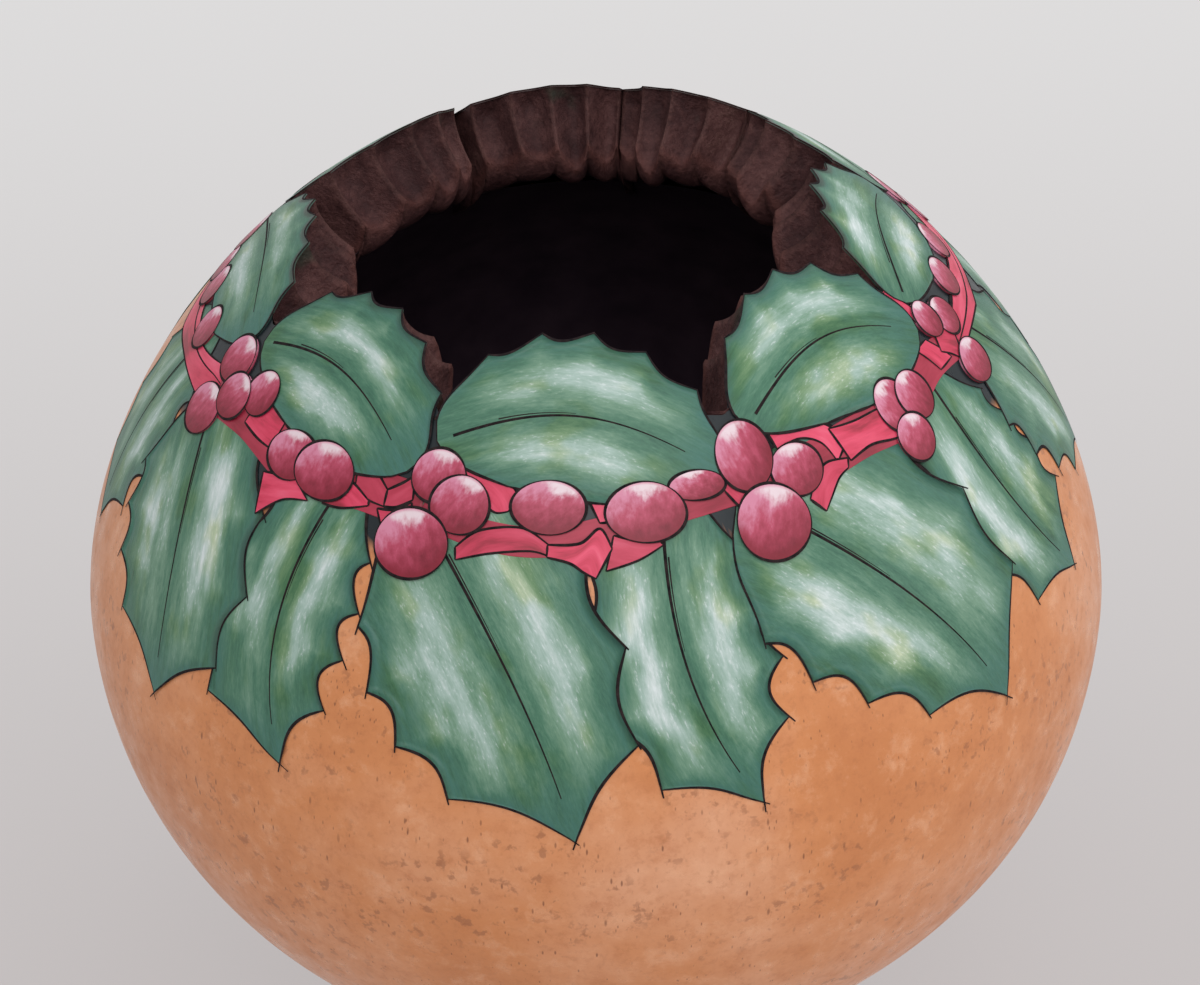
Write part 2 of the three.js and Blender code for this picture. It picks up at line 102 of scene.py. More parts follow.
# Skin, which sways a little further down than the leaves reach, then the black coat and the foot
SKIN_BELOW_CUT = 0.6
SKIN_COLUMNS = 600
SKIN_ROWS = 160
SWAY_TOP_ARC = 118
SWAY_FADE = 20
SWAY_DEPTH = 0.2
GROUND_FADE = 1.5
COAT_DEPTH = WALL_DEPTH + 0.4
COAT_TOP_ARC = 62
COAT_END_GAP = 0.2
COAT_COLUMNS = 144
COAT_ROWS = 90
FOOT_RINGS = 12
FOOT_LIFT = 0.02

# Garland: base and tip of each leaf by azimuth and drop below the garland's line, how far the midrib
# bows up or to the right, then the width of each half and how far along that is
GARLAND_ARC = 80
TOOTH_LEAN = 1
UPPER_TEETH = 6
UPPER_TOOTH_HEIGHT = 1.9
UPPER_SHARPNESS = 1
UPPER_OVERSHOOT = 0.2
UPPER_LINE_WIDTH = 0.42
UPPER_LEAVES = [
    ((-23.5, -7), (17.5, -3), 9, (13, 0.45), (12, 0.5)),
    ((23, -9.5), (63.5, -11.5), 9.5, (12.5, 0.48), (12, 0.5)),
    ((66.5, -16), (104, -23), 7, (12.5, 0.5), (11.5, 0.5)),
    ((107.5, -19), (139, -20), 8, (12, 0.5), (11.5, 0.5)),
    ((142.5, -19), (170, -18.5), 8, (12.5, 0.5), (11.5, 0.5)),
    ((173, -18), (208, -16), 8.5, (12.5, 0.5), (11.5, 0.5)),
    ((211, -15), (247, -10), 8.5, (12.5, 0.5), (11.5, 0.5)),
    ((251, -8), (293, -7), 7.5, (10, 0.5), (11.5, 0.5)),
    ((296.5, -9), (333.5, -1), 8, (12.5, 0.5), (11.5, 0.5)),
]
LOWER_TEETH = 5
LOWER_TOOTH_HEIGHT = 2.8
LOWER_SHARPNESS = 1.25
LOWER_TIP_POINT = 0.6
LOWER_OVERSHOOT = 1.6
LOWER_LINE_WIDTH = 0.48
LOWER_LEAVES = [
    ((-25, 2), (-2, 56), 5.5, (18, 0.4), (20.5, 0.45)),
    ((9, -2), (17, 51.5), -5, (14, 0.38), (13, 0.42)),
    ((19, 1), (48.5, 50), 5.5, (21.5, 0.46), (19, 0.35)),
    ((58, -7), (68.5, 41.5), -5, (14, 0.5), (14, 0.38)),
    ((75, -7), (92, 37), 2, (15, 0.45), (17.5, 0.36)),
    ((102, -16), (112, 37), 2, (14, 0.45), (14, 0.4)),
    ((125, -17), (139, 36), 3, (18, 0.45), (18, 0.42)),
    ((155, -17), (166, 36), 2, (14, 0.45), (14, 0.4)),
    ((179, -17), (193, 37), 3, (18.5, 0.45), (18.5, 0.42)),
    ((208, -15), (218, 38), 2, (14, 0.45), (14, 0.4)),
    ((232, -12), (248, 41), 3, (18.5, 0.45), (18.5, 0.42)),
    ((282, -5), (279, 43), -3, (14, 0.45), (14, 0.42)),
    ((294, 3), (306, 54), 4.5, (19, 0.42), (19, 0.4)),
    ((326, 0), (326, 52.5), -5.5, (12, 0.4), (13, 0.55)),
]

# Midrib strokes: from and to along the leaf, how far beside the midrib, how thick next to the outline
MIDRIB_STROKES = ((0.05, 0.88, 0.0, 1.15), (0.2, 0.48, 0.6, 0.5))

# Berry groups: the azimuth, then how far right of it each berry lies, its drop, width and height; the
# last one is on top
BERRY_GROUPS = [
    (-6.2, [(0, 1.2, 12, 9)]),
    (6.5, [(8.6, -1.6, 9.4, 5), (0, 2, 13, 10)]),
    (23, [(6.4, -1, 9.5, 9), (-2, -5.2, 9.8, 12), (0, 6.4, 13, 12.5)]),
    (48.5, [(0, -4.4, 8.4, 9.6), (5.4, -4, 8.4, 9), (0.6, 2, 8.4, 8.5)]),
    (71, [(0, 0, 10, 8.5)]),
    (73, [(0, -9, 8, 7.5), (-5.5, -11.5, 7, 7.5)]),
    (84, [(0, -11, 9, 8)]),
    (96, [(0, -12, 9, 8)]),
    (112, [(0, -16.5, 10, 9), (7, -11.5, 9.5, 8.5), (-1, -10, 8, 8)]),
    (133.5, [(0, -14.5, 9.5, 9), (6.5, -12.5, 9, 8)]),
    (155, [(5.5, -16, 9, 8.5), (-6, -14, 8.5, 8), (0, -10, 12, 10)]),
    (176, [(0, -14, 12.5, 9)]),
    (191, [(7, -17, 9, 8), (0, -13, 12, 9.5)]),
    (212, [(-4.5, -16, 9, 9), (4.5, -14, 9, 8.5), (0, -9, 13, 11)]),
    (232, [(0, -12, 8, 8.5), (7, -10.5, 9, 8), (2.5, -5, 8, 7.5)]),
    (253, [(8, -1, 9.5, 8), (0, -5, 11, 9)]),
    (267, [(0, -1, 9.5, 8.5)]),
    (279, [(0, 0, 9, 8.5)]),
    (294, [(11.6, -2.5, 8, 8.5), (0, 7, 10.5, 9.5), (0, -3.6, 9.5, 9), (5.8, 1.2, 9, 8.5)]),
    (315.2, [(0, 3.2, 10.8, 8.6), (7.7, 3.2, 12.3, 9.8)]),
    (337, [(1.4, -1.6, 9.4, 9), (6.2, 2.4, 10, 9.8), (-0.3, 10, 13, 11.4)]),
]

# Ribbon under the berries, in stretches: width, then azimuth and drop of the points that its middle
# passes through
RIBBON_STRETCHES = [
    (5, [(-23, 4), (-14, 6.6), (-5, 6.6), (6.5, 3)]),
    (4, [(6.5, 3), (16, 1), (23, 0)]),
    (7.5, [(23, 0), (31, -1), (40, -2.5), (48.5, -2)]),
    (6, [(48.5, -2), (60, -6), (71, -5)]),
    (7.5, [(71, -5), (84, -6), (98, -7), (112, -11)]),
    (7.5, [(112, -11), (124, -10), (136, -8), (155, -12)]),
    (7.5, [(155, -12), (166, -11), (178, -9), (191, -12)]),
    (7.5, [(191, -12), (202, -11), (212, -11)]),
    (7.5, [(212, -11), (222, -9), (232, -8)]),
    (7.5, [(232, -8), (243, -6), (253, -3)]),
    (7.5, [(253, -3), (266, 4), (280, 4.5), (294, 3)]),
    (7.5, [(294, 3), (305, 2), (315, 4.5)]),
    (7.5, [(315, 4.5), (327, 3.5), (337, 4)]),
]

# Ribbon folds at the front: how bright, then the upper and the lower edge by azimuth and drop
RIBBON_FOLDS = [
    (1.0, [(-56, -2.5), (-52, -2), (-48.8, -1.8)], [(-56, 3.2), (-52, 4), (-48.8, 4.2)]),
    (1.0, [(-48, 8), (-45, 7), (-42.2, 6.4)], [(-46.2, 14.8), (-43, 10.5), (-39.2, 8.8)]),
    (1.0, [(-35.5, 4), (-33.8, 3.2), (-30.5, 5.2)], [(-37, 8.2), (-34, 7.8), (-30.3, 6)]),
    (0.4, [(-34, 0), (-31, 0.3), (-28.4, 2.6)], [(-33.2, 3.4), (-31, 5), (-28.2, 5.4)]),
    (0.4, [(-28.4, 2.6), (-26.5, 0.8), (-25, -1)], [(-28.2, 5.4), (-26.5, 5), (-24.5, 3.2)]),
    (0.8, [(-29, 6), (-26.5, 5.4), (-24.5, 3.6)], [(-27.5, 9), (-26, 7.5), (-24, 6)]),
    (1.0, [(-19, -4.4), (-14.8, -4.4), (-11.8, -2.4), (-10, 0.4)],
     [(-16, 1), (-14.5, 2), (-13, 2.8), (-11.5, 2.4)]),
    (0.7, [(-17.5, 9.2), (-14.8, 6), (-9.5, 4.8), (-5.8, 7.2)],
     [(-17.2, 11.2), (-13, 9.4), (-8, 8.4), (-5, 9.4)]),
    (1.0, [(-6, 7.2), (-2, 6.8), (0.5, 4.4), (2, 7.6)], [(-6, 9.2), (-3.2, 10), (-1.5, 11.4), (0, 12.4)]),
    (0.6, [(2.2, 5.5), (5, 6.4), (8, 6.6)], [(1.2, 11.2), (5.2, 9.6), (8.4, 7.4)]),
    (1.0, [(-1.5, -1.6), (1.8, -3.6), (5, -4)], [(0.5, 3.5), (1.8, 3), (2.5, 0)]),
    (0.7, [(17.2, -4), (19.5, -1.5), (22, 0.5)], [(17.4, 0), (19.2, 3.4), (21, 5.5)]),
    (1.0, [(25.8, -8), (31.5, -8.4), (35.8, -6), (36.8, -2)],
     [(26.5, -5), (30.5, -5.6), (33.5, -3.8), (34.8, 0)]),
    (0.8, [(36.5, 0), (33, -0.5), (30.5, 1.5), (28.8, 4.4)], [(36, 1.5), (34, 2.6), (32, 5), (30.5, 7)]),
    (1.0, [(35.5, -5.6), (40, -5.2), (45.2, -5.2), (48, -4)],
     [(36.8, 0.6), (41, -0.4), (45, 0.4), (48, 1)]),
    (0.9, [(62.5, -20.5), (64, -16), (65, -11.5)], [(64.5, -20.5), (66.5, -16), (67.8, -11.5)]),
    (1.0, [(59.6, -9.5), (60.8, -7), (61.8, -4)], [(63.5, -9.5), (65, -7), (66.2, -4)]),
    (0.8, [(67, -10), (69.5, -8.2), (71.5, -6)], [(64.8, -6), (66.8, -4.2), (68.5, -1.8)]),
]
FOLD_LINE_WIDTHS = (0.36, 0.55)

# Further round than this on either side, the ribbon is plain and winds
FRONT_AZIMUTH = 60
BACK_NARROWING = 0.35
BACK_SHADE = 0.9
FRONT_SHADE = 0.2
BACK_LINE_WIDTH = 0.45
SPLINE_POINTS = 14

# By azimuth, how far the dark ground of the garland reaches below the middle of the ribbon
GROUND_REACHES = [
    (0, 7.5), (45, 9), (65, 14), (110, 14), (150, 7.5), (240, 7.5), (270, 5), (290, 9), (315, 10),
]


# Surface


def superellipse_side(u, height, power):
    """Radius and height above the belly, from the belly at u = 0 to the pole at u = 1."""
    rise = np.sin(u * math.pi / 2)
    return BELLY_RADIUS * (1 - rise**power) ** (1 / power), height * rise


BELLY_HEIGHT = LOWER_DEPTH * (1 - (FOOT_RADIUS / BELLY_RADIUS) ** LOWER_POWER) ** (1 / LOWER_POWER)
SAMPLES = np.linspace(0, 1, 1500)
UPPER_HALF = superellipse_side(SAMPLES[::-1], SHOULDER_HEIGHT, SHOULDER_POWER)
LOWER_HALF = superellipse_side(SAMPLES, -LOWER_DEPTH, LOWER_POWER)
PROFILE_R = np.concatenate([UPPER_HALF[0], LOWER_HALF[0][1:]])
PROFILE_Z = np.concatenate([UPPER_HALF[1], LOWER_HALF[1][1:]]) + BELLY_HEIGHT
PROFILE_ARC = np.concatenate([[0], np.cumsum(np.hypot(np.diff(PROFILE_R), np.diff(PROFILE_Z)))])
FULL_ARC = PROFILE_ARC[-1]
NORMAL_R = -np.gradient(PROFILE_Z, PROFILE_ARC)
NORMAL_Z = np.gradient(PROFILE_R, PROFILE_ARC)


def section(arc, depth):
    """Radius and height of the surface that lies depth below the grown one."""
    r = np.interp(arc, PROFILE_ARC, PROFILE_R) - depth * np.interp(arc, PROFILE_ARC, NORMAL_R)
    z = np.interp(arc, PROFILE_ARC, PROFILE_Z) - depth * np.interp(arc, PROFILE_ARC, NORMAL_Z)
    return r, z


def surface(azimuth, arc, depth):
    """Points in mm, in an array with a last axis of x, y and z."""
    r, z = section(arc, depth)
    angle = np.radians(azimuth)
    return np.stack([r * np.sin(angle), -r * np.cos(angle), z + 0 * angle], -1)


def mm_per_degree(arc):
    return np.radians(1) * np.interp(arc, PROFILE_ARC, PROFILE_R)


# Meshes


def add_mesh(name, points, faces, attributes, material, nodes=()):
    """A smooth mesh from points in mm, riding on the one body and standing for the CAD nodes named."""
    mesh = bpy.data.meshes.new(name)
    mesh.from_pydata((np.asarray(points) * MM).tolist(), [], faces)
    for key, values in attributes.items():
        layer = mesh.attributes.new(key, "FLOAT", "POINT")
        layer.data.foreach_set("value", np.asarray(values, dtype=np.float32).ravel())
    mesh.polygons.foreach_set("use_smooth", [True] * len(mesh.polygons))
    mesh.materials.append(material)
    obj = bpy.data.objects.new(name, mesh)
    bpy.context.scene.collection.objects.link(obj)
    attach(obj, "root")
    if nodes:
        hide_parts(*nodes)


def grid_faces(rows, columns, wrap=False, start=0):
    """Quads of a grid of points in row order; wrap joins the last column to the first."""
    faces = []
    for row in range(rows - 1):
        for column in range(columns if wrap else columns - 1):
            after = (column + 1) % columns
            a = start + row * columns
            b = a + columns
            faces.append((a + column, b + column, b + after, a + after))
    return faces


def add_turned(name, points, attributes, material, nodes=()):
    """A mesh from rows of points that each run once round the upright axis."""
    faces = grid_faces(*points.shape[:2], wrap=True)
    add_mesh(name, points.reshape(-1, 3), faces, attributes, material, nodes)


class Patchwork:
    """Several grids gathered into one mesh."""

    def __init__(self):
        self.points = []
        self.faces = []
        self.attributes = {}
        self.count = 0

    def add(self, points, **attributes):
        rows, columns = points.shape[:2]
        self.points.append(points.reshape(-1, 3))
        self.faces += grid_faces(rows, columns, start=self.count)
        self.count += rows * columns
        for key, values in attributes.items():
            spread = np.broadcast_to(values, (rows, columns)).ravel()
            self.attributes.setdefault(key, []).append(spread)

    def build(self, name, material, slot, nodes=()):
        joined = {key: np.concatenate(values) for key, values in self.attributes.items()}
        add_mesh(name, np.concatenate(self.points), self.faces, joined, material, nodes)


def stroke(patchwork, azimuths, arcs, widths, depth, rise=LINE_RISE):
    """A burned stroke along a line on the surface: a thin raised strip of char."""
    azimuths, arcs = np.asarray(azimuths, float), np.asarray(arcs, float)
    scale = mm_per_degree(arcs)
    along_x, along_y = np.gradient(azimuths) * scale, np.gradient(arcs)
    length = np.maximum(np.hypot(along_x, along_y), 1e-6)
    side_x, side_y = -along_y / length / scale, along_x / length
    columns = []
    for share, height in ((-0.5, 0), (-0.25, rise), (0.25, rise), (0.5, 0)):
        offset = share * np.asarray(widths)
        columns.append(surface(azimuths + offset * side_x, arcs + offset * side_y, depth - height))
    patchwork.add(np.stack(columns, 1))


def curled(shares, depth):
    """Depth of a painted field from its middle to its edge, which turns down to the skin."""
    return depth + (EDGE_DEPTH - depth) * np.clip((np.abs(shares) - CURL_SHARE) / (1 - CURL_SHARE), 0, 1)


def tapered(count, width, blunt):
    """Widths of a stroke that swells quickly from a thin start and thins out again."""
    t = np.linspace(0, 1, count)
    return width * (blunt + (1 - blunt) * np.sin(math.pi * t**0.7))


# Colours and node helpers


def srgb(red, green, blue):
    """A colour written as it shows, from 0 to 255, as Blender's linear values."""
    linear = []
    for value in (red, green, blue):
        share = value / 255
        linear.append(share / 12.92 if share <= 0.04045 else ((share + 0.055) / 1.055) ** 2.4)
    return (*linear, 1)


def add_node(tree, kind, inputs=None, **settings):
    made = tree.nodes.new(kind)
    for key, value in settings.items():
        setattr(made, key, value)
    for key, value in (inputs or {}).items():
        if isinstance(value, bpy.types.NodeSocket):
            tree.links.new(value, made.inputs[key])
        else:
            made.inputs[key].default_value = value
    return made


def attribute(tree, name):
    return add_node(tree, "ShaderNodeAttribute", attribute_name=name).outputs["Fac"]


def maths(tree, operation, first, second=0.0):
    return add_node(tree, "ShaderNodeMath", {0: first, 1: second}, operation=operation).outputs[0]


def times(tree, first, second):
    return maths(tree, "MULTIPLY", first, second)


def plus(tree, first, second):
    return maths(tree, "ADD", first, second)


def minus(tree, first, second):
    return maths(tree, "SUBTRACT", first, second)


def absolute(tree, value):
    return maths(tree, "ABSOLUTE", value)


def noise(tree, vector, scale, detail, roughness=0.5):
    inputs = {"Vector": vector, "Scale": scale, "Detail": detail, "Roughness": roughness}
    return add_node(tree, "ShaderNodeTexNoise", inputs).outputs["Fac"]


def ramp(tree, factor, stops):
    node = add_node(tree, "ShaderNodeValToRGB", {"Fac": factor})
    elements = node.color_ramp.elements
    while len(elements) < len(stops):
        elements.new(0.5)
    for element, (position, colour) in zip(elements, stops):
        element.position = position
        element.color = colour
    return node.outputs["Color"]


def between(tree, value, low, high):
    """0 below low, 1 above high, with a soft step between them."""
    inputs = {"Value": value, "From Min": low, "From Max": high}
    node = add_node(tree, "ShaderNodeMapRange", inputs, interpolation_type="SMOOTHSTEP")
    return node.outputs["Result"]


def mix(tree, factor, first, second, blend="MIX"):
    node = add_node(tree, "ShaderNodeMix", {"Factor": factor}, data_type="RGBA", blend_type=blend)
    first_colour, second_colour, result = node.inputs[6], node.inputs[7], node.outputs[2]
    for socket, value in ((first_colour, first), (second_colour, second)):
        if isinstance(value, bpy.types.NodeSocket):
            tree.links.new(value, socket)
        else:
            socket.default_value = value
    return result


def combine(tree, x, y, z):
    return add_node(tree, "ShaderNodeCombineXYZ", {"X": x, "Y": y, "Z": z}).outputs["Vector"]


def place(tree):
    return add_node(tree, "ShaderNodeTexCoord").outputs["Object"]


def new_material(name, roughness, specular):
    material = bpy.data.materials.new(name)
    material.use_nodes = True
    shader = material.node_tree.nodes["Principled BSDF"]
    shader.inputs["Roughness"].default_value = roughness
    shader.inputs["Specular IOR Level"].default_value = specular
    return material, material.node_tree, shader


def bump(tree, shader, height, strength, distance):
    inputs = {"Height": height, "Strength": strength, "Distance": distance}
    node = add_node(tree, "ShaderNodeBump", inputs)
    tree.links.new(node.outputs["Normal"], shader.inputs["Normal"])


# Materials


def skin_material():
    """Natural hard skin: orange tan with paler patches, mottling, smudges, dark marks and specks."""
    material, tree, shader = new_material("gourd_skin", 0.42, 0.4)
    spot = place(tree)
    patches = noise(tree, spot, 18, 4, 0.6)
    mottle = noise(tree, spot, 150, 6, 0.72)
    fine = noise(tree, spot, 700, 4, 0.7)
    colour = ramp(tree, patches, [
        (0.32, srgb(198, 124, 74)),
        (0.5, srgb(211, 138, 88)),
        (0.68, srgb(222, 160, 122)),
    ])
    colour = mix(tree, times(tree, between(tree, mottle, 0.5, 0.72), 0.5), colour, srgb(188, 114, 68))
    colour = mix(tree, times(tree, between(tree, mottle, 0.5, 0.3), 0.4), colour, srgb(240, 184, 146))
    colour = mix(tree, times(tree, between(tree, fine, 0.5, 0.7), 0.25), colour, srgb(176, 108, 66))
    smudge = between(tree, noise(tree, spot, 34, 5, 0.7), 0.62, 0.78)
    colour = mix(tree, times(tree, smudge, 0.35), colour, srgb(168, 104, 78))
    marks = between(tree, noise(tree, spot, 420, 3, 0.6), 0.56, 0.66)
    marked = between(tree, noise(tree, spot, 45, 4, 0.65), 0.44, 0.58)
    colour = mix(tree, times(tree, times(tree, marks, marked), 0.5), colour, srgb(142, 88, 60))
    upright = add_node(tree, "ShaderNodeMapping", {"Vector": spot, "Scale": (1, 1, 0.3)}).outputs["Vector"]
    for scale, size, strength in ((330, 0.12, 0.7), (620, 0.15, 0.7), (1100, 0.18, 0.6)):
        cells = add_node(tree, "ShaderNodeTexVoronoi", {"Vector": upright, "Scale": scale})
        cluster = between(tree, noise(tree, spot, scale / 9, 3, 0.6), 0.46, 0.6)
        speck = times(tree, between(tree, cells.outputs["Distance"], size, size * 0.4), cluster)
        colour = mix(tree, times(tree, speck, strength), colour, srgb(112, 66, 44))
    colour = mix(tree, attribute(tree, "ground"), colour, srgb(26, 34, 38))
    tree.links.new(colour, shader.inputs["Base Color"])
    tree.links.new(between(tree, mottle, -0.4, 1.9), shader.inputs["Roughness"])
    bump(tree, shader, plus(tree, patches, times(tree, mottle, 0.2)), 0.3, 0.0012)
    return material


def brushed(tree, along, across, stretch, scale, detail):
    """Noise drawn out along the brush's way, with features of about 1 / scale mm across it."""
    way = combine(tree, times(tree, along, stretch), across, attribute(tree, "seed"))
    return noise(tree, way, scale, detail, 0.62)


def leaf_material():
    """Grey-green paint, dry-brushed to pale patches in both halves of the leaf, teal at edges and tip."""
    material, tree, shader = new_material("leaf_paint", 0.42, 0.4)
    along, half = attribute(tree, "along"), absolute(tree, attribute(tree, "across"))
    run, girth = attribute(tree, "run"), attribute(tree, "girth")
    patch = brushed(tree, run, girth, 0.4, 0.1, 2)
    streak = brushed(tree, run, girth, 0.16, 0.8, 5)
    fine = brushed(tree, run, girth, 0.32, 2.4, 4)
    crest = absolute(tree, minus(tree, half, plus(tree, times(tree, patch, 0.5), 0.18)))
    ends = times(tree, between(tree, along, 0.02, 0.34), between(tree, along, 0.96, 0.6))
    glow = times(tree, times(tree, between(tree, crest, 0.44, 0.0), ends), attribute(tree, "lift"))
    glow = times(tree, glow, between(tree, patch, 0.22, 0.6))
    tone = plus(tree, times(tree, glow, 0.72), times(tree, minus(tree, streak, 0.18), 0.5))
    tone = plus(tree, tone, times(tree, minus(tree, fine, 0.5), 0.3))
    colour = ramp(tree, tone, [
        (0.0, srgb(44, 88, 72)),
        (0.2, srgb(72, 118, 94)),
        (0.42, srgb(112, 148, 124)),
        (0.68, srgb(162, 186, 176)),
        (0.95, srgb(220, 228, 228)),
    ])
    warm = times(tree, between(tree, brushed(tree, run, girth, 0.5, 0.14, 2), 0.5, 0.68), 0.6)
    colour = mix(tree, warm, colour, mix(tree, 1.0, colour, srgb(222, 226, 158), "MULTIPLY"))
    teal = times(tree, between(tree, half, 0.62, 1.0), between(tree, streak, 0.3, 0.7))
    colour = mix(tree, times(tree, teal, 0.85), colour, srgb(54, 104, 96))
    tip = times(tree, between(tree, along, 0.74, 1.0), between(tree, streak, 0.25, 0.65))
    colour = mix(tree, times(tree, tip, 0.7), colour, srgb(58, 108, 104))
    flecks = times(tree, between(tree, fine, 0.58, 0.68), between(tree, glow, 0.15, 0.6))
    colour = mix(tree, times(tree, flecks, 0.4), colour, srgb(220, 228, 228))
    scorch = times(tree, attribute(tree, "scorch"), between(tree, attribute(tree, "across"), 0.84, 0.94))
    colour = mix(tree, scorch, colour, srgb(58, 36, 36))
    tree.links.new(colour, shader.inputs["Base Color"])
    bump(tree, shader, plus(tree, streak, fine), 0.3, 0.0002)
    return material


def berry_material():
    """Crimson paint, pinker up and left, with a white dry-brushed light on top and a dark lower side."""
    material, tree, shader = new_material("berry_paint", 0.4, 0.4)
    x, y = attribute(tree, "along"), attribute(tree, "across")
    grain = brushed(tree, y, times(tree, x, 2.6), 1.4, 1.7, 6)
    radius = maths(tree, "POWER", plus(tree, times(tree, x, x), times(tree, y, y)), 0.5)
    ragged = times(tree, minus(tree, grain, 0.5), 0.75)
    rise = plus(tree, plus(tree, times(tree, y, 0.34), times(tree, x, -0.22)), ragged)
    colour = ramp(tree, plus(tree, rise, 0.5), [
        (0.1, srgb(118, 24, 42)),
        (0.34, srgb(150, 44, 66)),
        (0.56, srgb(182, 72, 98)),
        (0.8, srgb(210, 132, 158)),
    ])
    light = plus(tree, plus(tree, y, ragged), times(tree, absolute(tree, x), -0.5))
    white = times(tree, between(tree, light, 0.34, 0.72), between(tree, radius, 1.0, 0.86))
    colour = mix(tree, times(tree, white, 0.85), colour, srgb(234, 220, 224))
    low = times(tree, between(tree, radius, 0.62, 0.95), between(tree, y, 0.1, -0.5))
    colour = mix(tree, times(tree, low, 0.75), colour, srgb(128, 22, 42))
    tree.links.new(colour, shader.inputs["Base Color"])
    bump(tree, shader, grain, 0.3, 0.0002)
    return material


def ribbon_material():
    """Flat bright red paint on the folds, and dark red between them."""
    material, tree, shader = new_material("ribbon_paint", 0.42, 0.4)
    run, girth = attribute(tree, "run"), attribute(tree, "girth")
    streak = brushed(tree, run, girth, 0.2, 0.5, 4)
    soft = brushed(tree, run, girth, 0.5, 0.12, 2)
    tone = plus(tree, times(tree, streak, 0.45), times(tree, soft, 0.55))
    bright = ramp(tree, tone, [
        (0.36, srgb(150, 36, 54)),
        (0.46, srgb(206, 56, 86)),
        (0.58, srgb(226, 78, 108)),
        (0.72, srgb(236, 112, 138)),
    ])
    dark = ramp(tree, tone, [(0.3, srgb(122, 28, 44)), (0.7, srgb(172, 50, 70))])
    colour = mix(tree, attribute(tree, "shade"), dark, bright)
    tree.links.new(colour, shader.inputs["Base Color"])
    bump(tree, shader, streak, 0.25, 0.0002)
    return material


def burned_material():
    """Charred brown-black of the burned lines."""
    material, tree, shader = new_material("burned_line", 0.85, 0.15)
    grain = noise(tree, place(tree), 900, 3)
    colour = ramp(tree, grain, [(0.3, srgb(16, 15, 18)), (0.75, srgb(52, 40, 40))])
    tree.links.new(colour, shader.inputs["Base Color"])
    return material


def carved_material():
    """Dark red-brown paint on the scooped wall, paler at its lips, that dies away on the inner side."""
    material, tree, shader = new_material("carved_wall", 0.65, 0.25)
    spot = place(tree)
    ridge, run = attribute(tree, "ridge"), attribute(tree, "run")
    cloud = noise(tree, spot, 110, 5, 0.65)
    grain = noise(tree, spot, 800, 5, 0.7)
    tone = plus(tree, plus(tree, times(tree, cloud, 0.6), times(tree, grain, 0.4)), attribute(tree, "tint"))
    colour = ramp(tree, tone, [
        (0.25, srgb(36, 18, 20)),
        (0.45, srgb(66, 38, 38)),
        (0.62, srgb(96, 62, 60)),
        (0.8, srgb(122, 90, 84)),
    ])
    worn = times(tree, between(tree, plus(tree, ridge, times(tree, grain, 0.7)), 0.95, 1.5), 0.18)
    colour = mix(tree, worn, colour, srgb(112, 76, 66))
    lip = times(tree, between(tree, run, 0.84, 0.98), between(tree, run, 1.12, 1.0))
    colour = mix(tree, times(tree, lip, times(tree, grain, 0.6)), colour, srgb(108, 62, 54))
    green = times(tree, between(tree, noise(tree, spot, 70, 3), 0.6, 0.7), between(tree, run, 0.6, 0.1))
    colour = mix(tree, times(tree, green, 0.6), colour, srgb(40, 60, 48))
    inside = between(tree, plus(tree, run, times(tree, cloud, 0.3)), 1.3, 1.75)
    colour = mix(tree, inside, colour, srgb(60, 44, 52))
    tree.links.new(colour, shader.inputs["Base Color"])
    bump(tree, shader, plus(tree, grain, times(tree, cloud, 2.5)), 0.6, 0.0009)
    return material


def coat_material():
    """Matt near-black paint of the inside."""
    material, tree, shader = new_material("black_coat", 0.9, 0.1)
    cloud = noise(tree, place(tree), 120, 4)
    colour = ramp(tree, cloud, [(0.3, srgb(50, 38, 48)), (0.8, srgb(70, 54, 64))])
    tree.links.new(colour, shader.inputs["Base Color"])
    return material


def foot_material():
    """Sanded corky wall under the foot."""
    material, tree, shader = new_material("sanded_foot", 0.8, 0.2)
    grain = noise(tree, place(tree), 500, 5, 0.65)
    colour = ramp(tree, grain, [(0.3, srgb(176, 142, 104)), (0.7, srgb(214, 186, 148))])
    tree.links.new(colour, shader.inputs["Base Color"])
    bump(tree, shader, grain, 0.4, 0.0005)
    return material


SKIN = skin_material()
LEAF = leaf_material()
BERRY = berry_material()
RIBBON = ribbon_material()
BURNED = burned_material()
CARVED = carved_material()
COAT = coat_material()
FOOT = foot_material()


# Leaves


